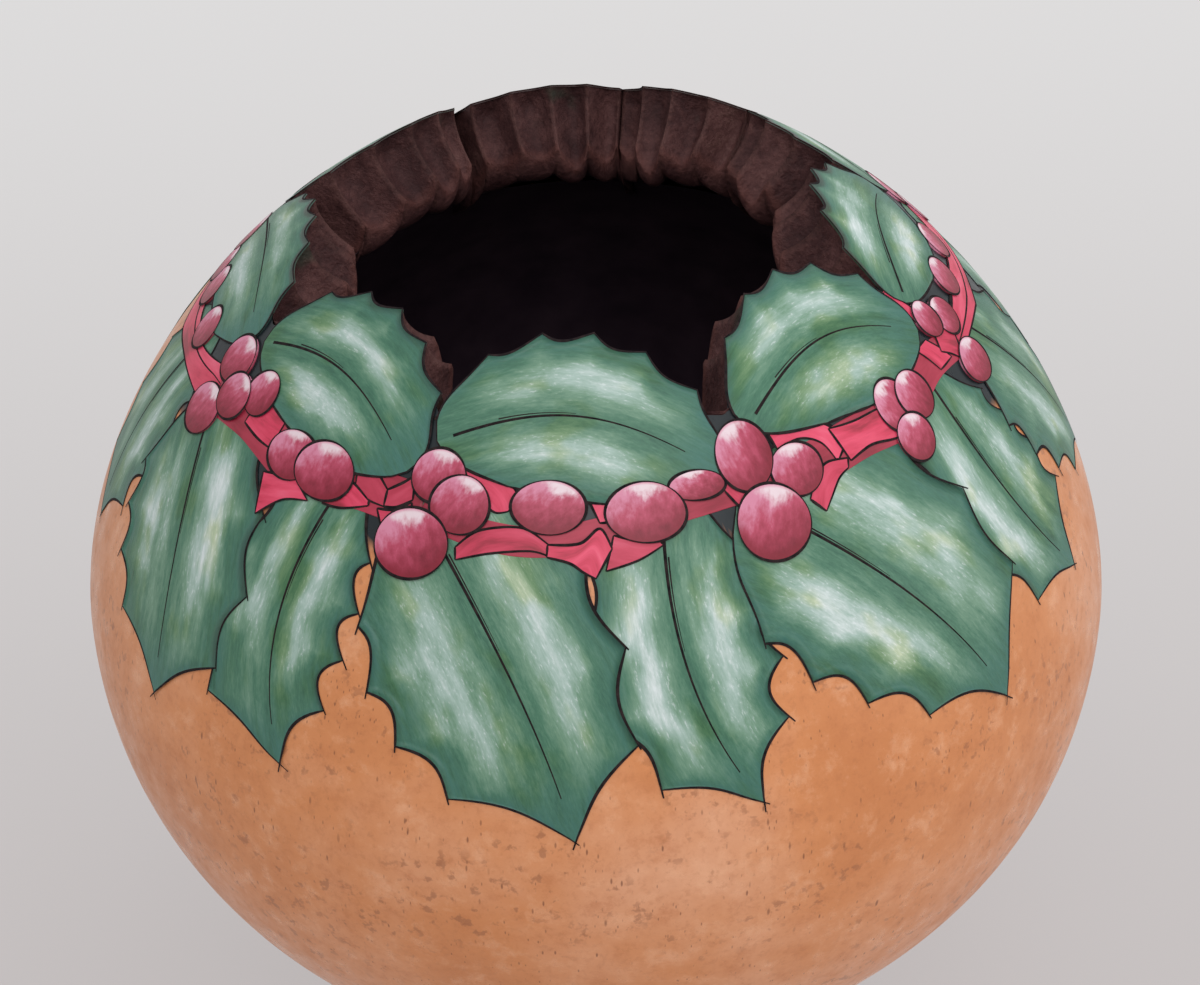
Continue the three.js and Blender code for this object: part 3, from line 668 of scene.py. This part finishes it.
class Leaf:
    """A holly leaf on the surface, its edge in concave arcs between teeth that lean towards the tip."""

    SAMPLES_PER_TOOTH = 14
    ROWS_PER_HALF = 9

    def __init__(self, row, teeth, tooth_height, sharpness, tip_point=0, toothed_below=True):
        base, tip, bow, self.above, self.below = row
        self.teeth, self.tooth_height, self.sharpness = teeth, tooth_height, sharpness
        self.tip_point, self.toothed_below = tip_point, toothed_below
        self.azimuth = (base[0] + tip[0]) / 2
        self.scale = mm_per_degree(GARLAND_ARC + (base[1] + tip[1]) / 2)
        self.base = np.array([(base[0] - self.azimuth) * self.scale, GARLAND_ARC + base[1]])
        self.tip = np.array([(tip[0] - self.azimuth) * self.scale, GARLAND_ARC + tip[1]])
        across = np.array([self.tip[1] - self.base[1], self.base[0] - self.tip[0]])
        self.control = (self.base + self.tip) / 2 + across / np.hypot(*across) * 2 * bow
        self.length = np.hypot(*(self.tip - self.base))

    def steps(self):
        return np.linspace(0, 1, self.teeth * self.SAMPLES_PER_TOOTH + 1)

    def midrib(self, t):
        t = np.asarray(t, float)[..., None]
        return (1 - t) ** 2 * self.base + 2 * t * (1 - t) * self.control + t * t * self.tip

    def tangent(self, t):
        t = np.asarray(t, float)[..., None]
        along = 2 * (1 - t) * (self.control - self.base) + 2 * t * (self.tip - self.control)
        return along / np.linalg.norm(along, axis=-1, keepdims=True)

    def tooth(self, t, side):
        """1 at the point of each tooth and 0 halfway between two, less near both ends of the leaf."""
        nearness = np.minimum(1, np.minimum(t * self.teeth, (1 - t) * self.teeth))
        if side < 0 and not self.toothed_below:
            return nearness
        return (1 - np.sin(math.pi * np.mod(t * self.teeth, 1))) * nearness

    def edge(self, t, side):
        """Points of the edge above the midrib, where side is 1, or below it, where side is -1."""
        t = np.asarray(t, float)
        width, fullest = self.above if side > 0 else self.below
        swell = (t / fullest) ** fullest * ((1 - t) / (1 - fullest)) ** (1 - fullest)
        tangent = self.tangent(t)
        outward = np.stack([tangent[..., 1], -tangent[..., 0]], -1) * side
        tooth = self.tooth(t, side)[..., None]
        last_tooth = np.clip(1 - (1 - t) * self.teeth, 0, 1)
        swell = swell**self.sharpness * (1 - last_tooth) ** self.tip_point
        reach = width * swell[..., None] + self.tooth_height * tooth
        return self.midrib(t) + outward * reach + tangent * TOOTH_LEAN * tooth

    def to_surface(self, points):
        """Azimuth and arc of points that are given in mm in the leaf's own plane."""
        return self.azimuth + points[..., 0] / self.scale, points[..., 1]


def add_leaf(node, leaf, depth, lift, seed, scorch=0):
    """The painted field of a leaf, from the midrib out to both edges."""
    t = leaf.steps()
    shares = np.append(np.linspace(0, CURL_SHARE, leaf.ROWS_PER_HALF) ** 0.85, [CURL_SHARE, 1])
    signed = np.concatenate([-shares[:0:-1], shares])
    middle = leaf.midrib(t)
    rows = []
    for share in signed:
        edge = leaf.edge(t, 1 if share >= 0 else -1)
        rows.append(middle + abs(share) * (edge - middle))
    points = np.stack(rows)
    azimuth, arc = leaf.to_surface(points)
    across = np.repeat(signed[:, None], len(t), 1)
    girth = np.linalg.norm(points - middle, axis=-1) * np.sign(across)
    patchwork = Patchwork()
    patchwork.add(
        surface(azimuth, arc, curled(across, depth)),
        along=t[None, :],
        across=across,
        run=t[None, :] * leaf.length,
        girth=girth,
        seed=seed,
        lift=lift,
        scorch=scorch,
    )
    patchwork.build(f"paint_{node}", LEAF, "leaf_paint", [node])


def burn_leaf(lines, leaf, depth, overshoot, width, random):
    """Outline strokes that run on past each tooth, a long stroke on the midrib and a short one by it."""
    step = 1 / leaf.teeth
    before_tip = 1 - 1e-9
    for side in (1, -1):
        for k in range(leaf.teeth):
            t = np.linspace(k * step, (k + 1) * step, 16)
            points = leaf.edge(np.clip(t, 0, before_tip), side)
            last_step = points[-1] - points[-2]
            run_on = last_step / np.linalg.norm(last_step) * overshoot * random.uniform(0.4, 1.2)
            points = np.concatenate([points, [points[-1] + run_on]])
            azimuth, arc = leaf.to_surface(points)
            widths = tapered(len(points), width * random.uniform(0.75, 1.3), 0.45)
            stroke(lines, azimuth, arc, widths, depth)
    for first, last, shift, thick in MIDRIB_STROKES:
        t = np.linspace(first, last, 40)
        beside = leaf.tangent(t)[:, ::-1] * [1, -1]
        points = leaf.midrib(t) + beside * shift * (1 - (t[:, None] - first))
        azimuth, arc = leaf.to_surface(points)
        stroke(lines, azimuth, arc, width * thick * np.linspace(1.15, 0.35, len(t)), depth)


def build_leaves():
    """Both rows of leaves with their lines; every other lower leaf lies over its neighbours."""
    random = np.random.RandomState(5)
    upper_lines, under_lines, over_lines = Patchwork(), Patchwork(), Patchwork()
    upper_shape = UPPER_TEETH, UPPER_TOOTH_HEIGHT, UPPER_SHARPNESS
    upper = [Leaf(row, *upper_shape, toothed_below=False) for row in UPPER_LEAVES]
    lower_shape = LOWER_TEETH, LOWER_TOOTH_HEIGHT, LOWER_SHARPNESS, LOWER_TIP_POINT
    lower = [Leaf(row, *lower_shape) for row in LOWER_LEAVES]
    for i, leaf in enumerate(upper):
        depth, lift = LEAF_UPPER_DEPTH, random.uniform(0.75, 1.05)
        towards_back = 0.5 - 0.5 * math.cos(math.radians(leaf.azimuth))
        add_leaf(f"leaf_upper_{i + 1}", leaf, depth, lift, 3.1 * i, scorch=towards_back)
        burn_leaf(upper_lines, leaf, depth - LINE_GAP, UPPER_OVERSHOOT, UPPER_LINE_WIDTH, random)
    for i, leaf in enumerate(lower):
        lines, depth = (over_lines, LEAF_OVER_DEPTH) if i % 2 == 0 else (under_lines, LEAF_UNDER_DEPTH)
        lift = random.uniform(0.8, 1.1)
        add_leaf(f"leaf_lower_{i + 1}", leaf, depth, lift, 3.1 * i + 50)
        burn_leaf(lines, leaf, depth - LINE_GAP, LOWER_OVERSHOOT, LOWER_LINE_WIDTH, random)
    upper_lines.build("burned_lines_upper_leaves", BURNED, "black_coat")
    under_lines.build("burned_lines_under_leaves", BURNED, "black_coat")
    over_lines.build("burned_lines_over_leaves", BURNED, "black_coat")
    return upper


# Berries and ribbon


def build_berries():
    """Each group in one mesh, its berries in layers that hide the lines of those below."""
    random = np.random.RandomState(11)
    lines = Patchwork()
    angle = np.linspace(0, 2 * math.pi, 49)
    rings = np.append(np.linspace(0, CURL_SHARE - 0.015, 8), [CURL_SHARE, 1])[:, None]
    for g, (group_azimuth, berries) in enumerate(BERRY_GROUPS):
        patchwork = Patchwork()
        for b, (right, drop, width, height) in enumerate(berries):
            scale = mm_per_degree(GARLAND_ARC + drop)
            phase = random.uniform(0, 2 * math.pi)
            wobble = 1 + 0.02 * np.sin(2 * angle + phase) + 0.01 * np.sin(3 * angle - phase)
            x, y = np.cos(angle) * wobble * rings, np.sin(angle) * wobble * rings
            azimuths = group_azimuth + (right + x * width / 2) / scale
            arcs = GARLAND_ARC + drop - y * height / 2
            depth = BERRY_DEPTH - BERRY_STEP * b
            tilt = math.radians(random.uniform(-25, 25))
            patchwork.add(
                surface(azimuths, arcs, curled(rings, depth) + 0 * x),
                along=x * math.cos(tilt) + y * math.sin(tilt),
                across=y * math.cos(tilt) - x * math.sin(tilt),
                seed=10.0 * g + 3.3 * b,
            )
            widths = BERRY_LINE_WIDTH * (1 + 0.5 * np.sin(angle * 2 + phase))
            stroke(lines, azimuths[-1], arcs[-1], widths, depth - LINE_GAP, BERRY_LINE_RISE)
        patchwork.build(f"paint_berries_{g + 1}", BERRY, "berry_paint", [f"berries_{g + 1}"])
    lines.build("burned_lines_berries", BURNED, "black_coat")


def ribbon_patch(patchwork, upper, lower, depth, shade, seed):
    """A strip of ribbon between two lines of azimuths and arcs, turned down to the skin all round."""
    closed_upper, closed_lower = (np.concatenate([line[:1], line, line[-1:]]) for line in (upper, lower))
    curl = (1 - CURL_SHARE) / 2
    shares = np.concatenate([[0, curl], np.linspace(0.025, 0.975, 7), [1 - curl, 1]])[:, None]
    points = closed_upper + shares[..., None] * (closed_lower - closed_upper)
    flat = points * [mm_per_degree(points[..., 1].mean()), 1]
    middle = flat[len(shares) // 2]
    run = np.cumsum(np.linalg.norm(np.diff(middle, axis=0, prepend=middle[:1]), axis=1))
    depths = curled(2 * shares - 1, depth) + 0 * run
    depths[:, [0, -1]] = EDGE_DEPTH
    patchwork.add(
        surface(points[..., 0], points[..., 1], depths),
        run=run,
        girth=np.linalg.norm(flat - flat[:1], axis=-1),
        shade=shade,
        seed=seed,
    )


def band_edges(middle, width):
    """Both edges of a band along a middle line of azimuths and arcs."""
    scale = [mm_per_degree(middle[:, 1].mean()), 1]
    along = np.gradient(middle * scale, axis=0)
    along /= np.linalg.norm(along, axis=1, keepdims=True)
    side = np.stack([along[:, 1], -along[:, 0]], 1) * width[:, None] / 2 / scale
    return middle + side, middle - side


def spline(points, count):
    """A smooth line through the points given."""
    points = np.array([points[0], *points, points[-1]], float)
    line = []
    for before, first, last, after in zip(points, points[1:], points[2:], points[3:]):
        t = np.linspace(0, 1, count)[:, None]
        pull_first, pull_last = (last - before) / 2, (after - first) / 2
        cubic = 2 * (first - last) + pull_first + pull_last
        square = 3 * (last - first) - 2 * pull_first - pull_last
        line.append(((cubic * t + square) * t + pull_first) * t + first)
    return np.concatenate([line[0], *[piece[1:] for piece in line[1:]]])


def resampled(line, count):
    """The same line with another number of points."""
    old, new = np.linspace(0, 1, len(line)), np.linspace(0, 1, count)
    return np.stack([np.interp(new, old, line[:, k]) for k in (0, 1)], 1)


def build_ribbon():
    """Dark ground under the folds at the front, and the plain winding ribbon round the back."""
    random = np.random.RandomState(3)
    patchwork, lines = Patchwork(), Patchwork()
    for i, (full_width, stretch) in enumerate(RIBBON_STRETCHES):
        middle = spline(stretch, SPLINE_POINTS)
        at_back = FRONT_AZIMUTH < middle[:, 0].mean() < 360 - FRONT_AZIMUTH
        u = np.linspace(0, 1, len(middle))
        narrowing = BACK_NARROWING * at_back
        width = full_width * (1 - narrowing * np.abs(np.sin(2 * math.pi * u + i)))
        upper, lower = band_edges(middle + [0, GARLAND_ARC], width)
        shade = BACK_SHADE if at_back else FRONT_SHADE
        ribbon_patch(patchwork, upper, lower, BAND_DEPTH, shade, 5.1 * i)
        for share in (0, 1, random.uniform(0.3, 0.7))[: 3 if at_back else 0]:
            line = upper + share * (lower - upper)
            widths = tapered(len(u), BACK_LINE_WIDTH, 0.4)
            stroke(lines, line[:, 0], line[:, 1], widths, BAND_DEPTH - LINE_GAP)
    for i, (shade, *edges) in enumerate(RIBBON_FOLDS):
        depth = FOLD_DEPTHS[i % len(FOLD_DEPTHS)]
        count = SPLINE_POINTS * max(len(edge) for edge in edges)
        splines = [spline(edge, SPLINE_POINTS) + [0, GARLAND_ARC] for edge in edges]
        upper, lower = (resampled(line, count) for line in splines)
        ribbon_patch(patchwork, upper, lower, depth, shade, 7.7 * i)
        across = np.linspace(0, 1, 12)[:, None]
        ends = [upper[end] + across * (lower[end] - upper[end]) for end in (0, -1)]
        for line in (upper, lower, *ends):
            widths = tapered(len(line), random.uniform(*FOLD_LINE_WIDTHS), 0.55)
            stroke(lines, line[:, 0], line[:, 1], widths, depth - LINE_GAP)
    nodes = [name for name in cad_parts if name.startswith("ribbon_")]
    patchwork.build("paint_ribbon", RIBBON, "ribbon_paint", nodes)
    lines.build("burned_lines_ribbon", BURNED, "black_coat")


# Shell


def rim_line(leaves):
    """The cut edge by azimuth, arc and scoop: the leaves' upper edges, with a notch between each two."""
    azimuths, arcs, scoops, notches = [], [], [], []
    count = len(leaves)
    for i, leaf in enumerate(leaves):
        following = leaves[(i + 1) % count]
        tip_azimuth, tip_arc = leaf.to_surface(leaf.tip)
        base_azimuth, base_arc = following.to_surface(following.base)
        turn = 360 if i + 1 == count else 0
        notches.append(((tip_azimuth + base_azimuth + turn) / 2, min(tip_arc, base_arc) - NOTCH_RISE))
    for i, leaf in enumerate(leaves):
        t = leaf.steps()
        azimuth, arc = leaf.to_surface(leaf.edge(t, 1))
        limit = np.where(t < 0.5, notches[i - 1][1], notches[i][1])
        keep = arc < limit - NOTCH_MARGIN
        azimuths += list(azimuth[keep])
        arcs += list(arc[keep])
        scoops += list(t[keep] * leaf.teeth + i * leaf.teeth)
        azimuths.append(notches[i][0])
        arcs.append(notches[i][1])
        scoops.append((i + 1) * leaf.teeth)
    return np.array(azimuths), np.array(arcs), np.array(scoops)


def depth_of(points):
    """How deep points in mm lie below the grown surface, going by the nearest point of the profile."""
    radius, height = np.hypot(points[..., 0], points[..., 1]), points[..., 2]
    shape = radius.shape
    radius, height = radius.ravel()[:, None], height.ravel()[:, None]
    stride = 4
    distances = (PROFILE_R[::stride] - radius) ** 2 + (PROFILE_Z[::stride] - height) ** 2
    nearest = np.argmin(distances, axis=1) * stride
    inward = (PROFILE_R[nearest] - radius[:, 0]) * NORMAL_R[nearest]
    inward += (PROFILE_Z[nearest] - height[:, 0]) * NORMAL_Z[nearest]
    return inward.reshape(shape)


def build_wall(leaves):
    """The gouged cut: each point of the cut edge runs inwards and down to the inner side of the wall."""
    random = np.random.RandomState(21)
    azimuth, arc, scoop = rim_line(leaves)
    edge = surface(azimuth, arc, LEAF_UPPER_DEPTH)
    towards_front = 0.5 + 0.5 * np.cos(np.radians(azimuth))
    slope = np.radians(RIM_SLOPE - FRONT_SLOPE_EASE * towards_front**2)[:, None]
    flat = -edge[:, :2] / np.linalg.norm(edge[:, :2], axis=1, keepdims=True)
    inward = np.concatenate([flat * np.cos(slope), -np.sin(slope)], 1)
    low, high = np.zeros(len(edge)), np.full(len(edge), float(LONGEST_CUT))
    for _ in range(CUT_HALVINGS):
        reach = (low + high) / 2
        deep = depth_of(edge + inward * reach[:, None]) > WALL_DEPTH
        high = np.where(deep, reach, high)
        low = np.where(deep, low, reach)
    number = np.floor(scoop).astype(int) % (UPPER_TEETH * len(leaves))
    part = np.mod(scoop, 1)
    cupped = np.sin(math.pi * part)

    def at_ridges(low, high):
        heights = random.uniform(low, high, number.max() + 1)
        return heights[number] * (1 - part) + np.roll(heights, -1)[number] * part

    def each_scoop(low, high):
        return random.uniform(low, high, number.max() + 1)[number]

    hollow = SCOOP_DEPTH * each_scoop(*SCOOP_DEPTH_SPREAD) * cupped**0.8 + at_ridges(0, RIDGE_STEP)
    blunt = cupped**0.6
    lengths = high - at_ridges(*SCOOP_LIP_SPREAD) * SCOOP_LIP * (1 - blunt)
    lengths -= each_scoop(*SCOOP_END_SPREAD) * blunt
    square = np.cross(inward, np.cross(inward, [0, 0, 1]))
    square *= np.where(square[:, 2:] > 0, -1, 1) / np.linalg.norm(square, axis=1, keepdims=True)
    sway = each_scoop(0, 2 * math.pi)
    rows, runs = [], list(np.linspace(0, 1, CUT_ROWS))
    for v in runs:
        depth = hollow * min(1, v / SCOOP_START) ** 0.7 * (1 - SCOOP_FADE * v**3)
        depth = depth + CUT_HOLLOW * math.sin(math.pi * v)
        depth = depth + TOOL_MARK_DEPTH * cupped * np.sin(9 * v + sway)
        rows.append(edge + inward * (lengths * v)[:, None] + square * depth[:, None])
    end = rows[-1]
    upper_arcs = PROFILE_ARC[: len(SAMPLES)]
    inner_r, _ = section(upper_arcs, WALL_DEPTH)
    end_arc = np.interp(np.hypot(end[:, 0], end[:, 1]), inner_r, upper_arcs)
    end_azimuth = np.degrees(np.arctan2(end[:, 0], -end[:, 1]))
    for v in np.linspace(0.06, 1, INSIDE_ROWS):
        goal = surface(end_azimuth, end_arc + INSIDE_DROP + PAINTED_BELOW * v, WALL_DEPTH)
        straight = end - [0, 0, STRAIGHT_BELOW * min(1, v / 0.5)]
        blend = v * v * (3 - 2 * v)
        rows.append(straight * (1 - blend) + goal * blend)
        runs.append(1 + 0.6 * v)
    points = np.stack(rows)
    shape = points.shape[:2]
    attributes = {
        "ridge": np.broadcast_to(1 - cupped, shape),
        "run": np.broadcast_to(np.array(runs)[:, None], shape),
        "tint": np.broadcast_to(each_scoop(*SCOOP_TINT_SPREAD) * cupped, shape),
    }
    add_turned("carved_rim", points, attributes, CARVED, ["inner_wall"])


def build_coat():
    """The painted inside, from behind the end of the cut down to the middle of the bottom."""
    azimuths = np.linspace(0, 360, COAT_COLUMNS, endpoint=False)
    arcs = np.linspace(COAT_TOP_ARC, FULL_ARC - COAT_END_GAP, COAT_ROWS)
    points = surface(azimuths[None, :], arcs[:, None], COAT_DEPTH)
    add_turned("inside_coat", points, {}, COAT, ["inner_lining"])


def build_skin(leaves):
    """The hard skin from just under the cut edge down to the sanded foot."""
    rim_azimuth, rim_arc, _ = rim_line(leaves)
    azimuths = np.linspace(0, 360, SKIN_COLUMNS, endpoint=False)
    top = np.interp(azimuths, rim_azimuth, rim_arc, period=360) + SKIN_BELOW_CUT
    heights = section(PROFILE_ARC, SKIN_DEPTH)[1]
    foot_arc = PROFILE_ARC[np.nonzero(heights < 0)[0][0] - 1]
    rows = np.linspace(0, 1, SKIN_ROWS)
    arcs = top[None, :] + rows[:, None] * (foot_arc - top[None, :])
    angle = np.radians(azimuths)
    sway = 0.12 * np.sin(3 * angle + arcs / 31) + 0.08 * np.sin(7 * angle - arcs / 17 + 1.3)
    fade = np.clip((arcs - SWAY_TOP_ARC) / SWAY_FADE, 0, 1) * np.clip((foot_arc - arcs) / SWAY_FADE, 0, 1)
    points = surface(azimuths[None, :], arcs, SKIN_DEPTH + (sway + SWAY_DEPTH) * fade)
    ribbon = np.array([point for _, stretch in RIBBON_STRETCHES for point in stretch])
    reach = np.interp(azimuths, *np.transpose(GROUND_REACHES), period=360)
    ground_arc = GARLAND_ARC + np.interp(azimuths, *ribbon.T, period=360) + reach
    ground = np.clip((ground_arc - arcs) / GROUND_FADE, 0, 1)
    add_turned("hard_skin", points, {"ground": ground}, SKIN, ["rind"])
    radius = np.hypot(points[-1, :, 0], points[-1, :, 1])
    reaches = np.linspace(0, 1, FOOT_RINGS)[:, None] * radius
    lift = np.full(reaches.shape, FOOT_LIFT)
    disc = np.stack([reaches * np.sin(angle), -reaches * np.cos(angle), lift], -1)
    add_turned("sanded_foot", disc, {}, FOOT)


# Stage


def build_stage():
    """A pale floor that glows to camera and glossy rays in a soft painted gradient of shade, darker towards
    the front, over a lit surface that keeps the object's shadow, with soft light all round.
    """
    radius, below_foot = 4, 0.0002
    bpy.ops.mesh.primitive_circle_add(
        vertices=96, radius=radius, fill_type="NGON", location=(0, 0, -below_foot)
    )
    floor = bpy.context.object
    floor.name = "floor"
    material, tree, shader = new_material("floor_painted_shade_gradient", 0.9, 0.1)
    shader.inputs["Base Color"].default_value = srgb(212, 208, 207)
    path = add_node(tree, "ShaderNodeLightPath")
    seen = maths(tree, "MAXIMUM", path.outputs["Is Camera Ray"], path.outputs["Is Glossy Ray"])
    spot = add_node(tree, "ShaderNodeSeparateXYZ", {"Vector": place(tree)})
    # Painted shade: camera and glossy rays see the floor glow in a soft gradient, darker towards the front
    # and paler behind
    shade = between(tree, spot.outputs["Y"], -0.25, 0.55)
    colour = mix(tree, shade, srgb(188, 182, 182), srgb(224, 223, 223))
    glow = add_node(tree, "ShaderNodeEmission", {"Color": colour})
    both = add_node(tree, "ShaderNodeMixShader", {0: times(tree, seen, 0.85)})
    tree.links.new(shader.outputs[0], both.inputs[1])
    tree.links.new(glow.outputs[0], both.inputs[2])
    tree.links.new(both.outputs[0], tree.nodes["Material Output"].inputs["Surface"])
    floor.data.materials.append(material)

    world = bpy.data.worlds.new("studio")
    bpy.context.scene.world = world
    world.use_nodes = True
    tree = world.node_tree
    background = tree.nodes["Background"]
    path = add_node(tree, "ShaderNodeLightPath")
    pale = mix(tree, path.outputs["Is Camera Ray"], srgb(228, 228, 230), srgb(224, 223, 224))
    tree.links.new(pale, background.inputs["Color"])
    background.inputs["Strength"].default_value = 0.75

    aim = Vector((0, 0, 0.08))
    lamp_rows = (
        ("key", (0.05, -0.8, 1.2), 1.1, 7.5),
        ("right", (1.1, -0.3, 0.55), 1.0, 3.5),
        ("back", (0.3, 0.9, 1.1), 0.9, 4.0),
    )
    for name, location, size, power in lamp_rows:
        light = bpy.data.lights.new(name, "AREA")
        light.size, light.energy = size, power
        lamp = bpy.data.objects.new(name, light)
        lamp.location = location
        lamp.rotation_euler = (aim - Vector(location)).to_track_quat("-Z", "Y").to_euler()
        bpy.context.scene.collection.objects.link(lamp)


def build_camera():
    """The camera of the photograph, fitted to the gourd's outline."""
    elevation, distance = math.radians(33), 0.570
    image_width, focal_pixels = 1200, 3027
    middle_off_x, middle_off_y = -4, -73
    sensor_width = 36
    belly = Vector((0, 0, BELLY_HEIGHT * MM))
    away = Vector((0, -math.cos(elevation), math.sin(elevation)))
    camera = bpy.data.cameras.new("camera")
    camera.sensor_fit = "HORIZONTAL"
    camera.sensor_width = sensor_width
    camera.lens = sensor_width * focal_pixels / image_width
    camera.clip_start = 0.01
    holder = bpy.data.objects.new("camera", camera)
    facing = away.to_track_quat("Z", "Y").to_matrix().to_4x4()
    pitch = Matrix.Rotation(math.atan(-middle_off_y / focal_pixels), 4, "X")
    yaw = Matrix.Rotation(math.atan(middle_off_x / focal_pixels), 4, "Y")
    holder.matrix_world = Matrix.Translation(belly + away * distance) @ facing @ yaw @ pitch
    bpy.context.scene.collection.objects.link(holder)
    bpy.context.scene.camera = holder


build_camera()
build_stage()
upper_leaves = build_leaves()
build_berries()
build_ribbon()
build_wall(upper_leaves)
build_coat()
build_skin(upper_leaves)

bpy.context.scene.view_settings.view_transform = "Standard"
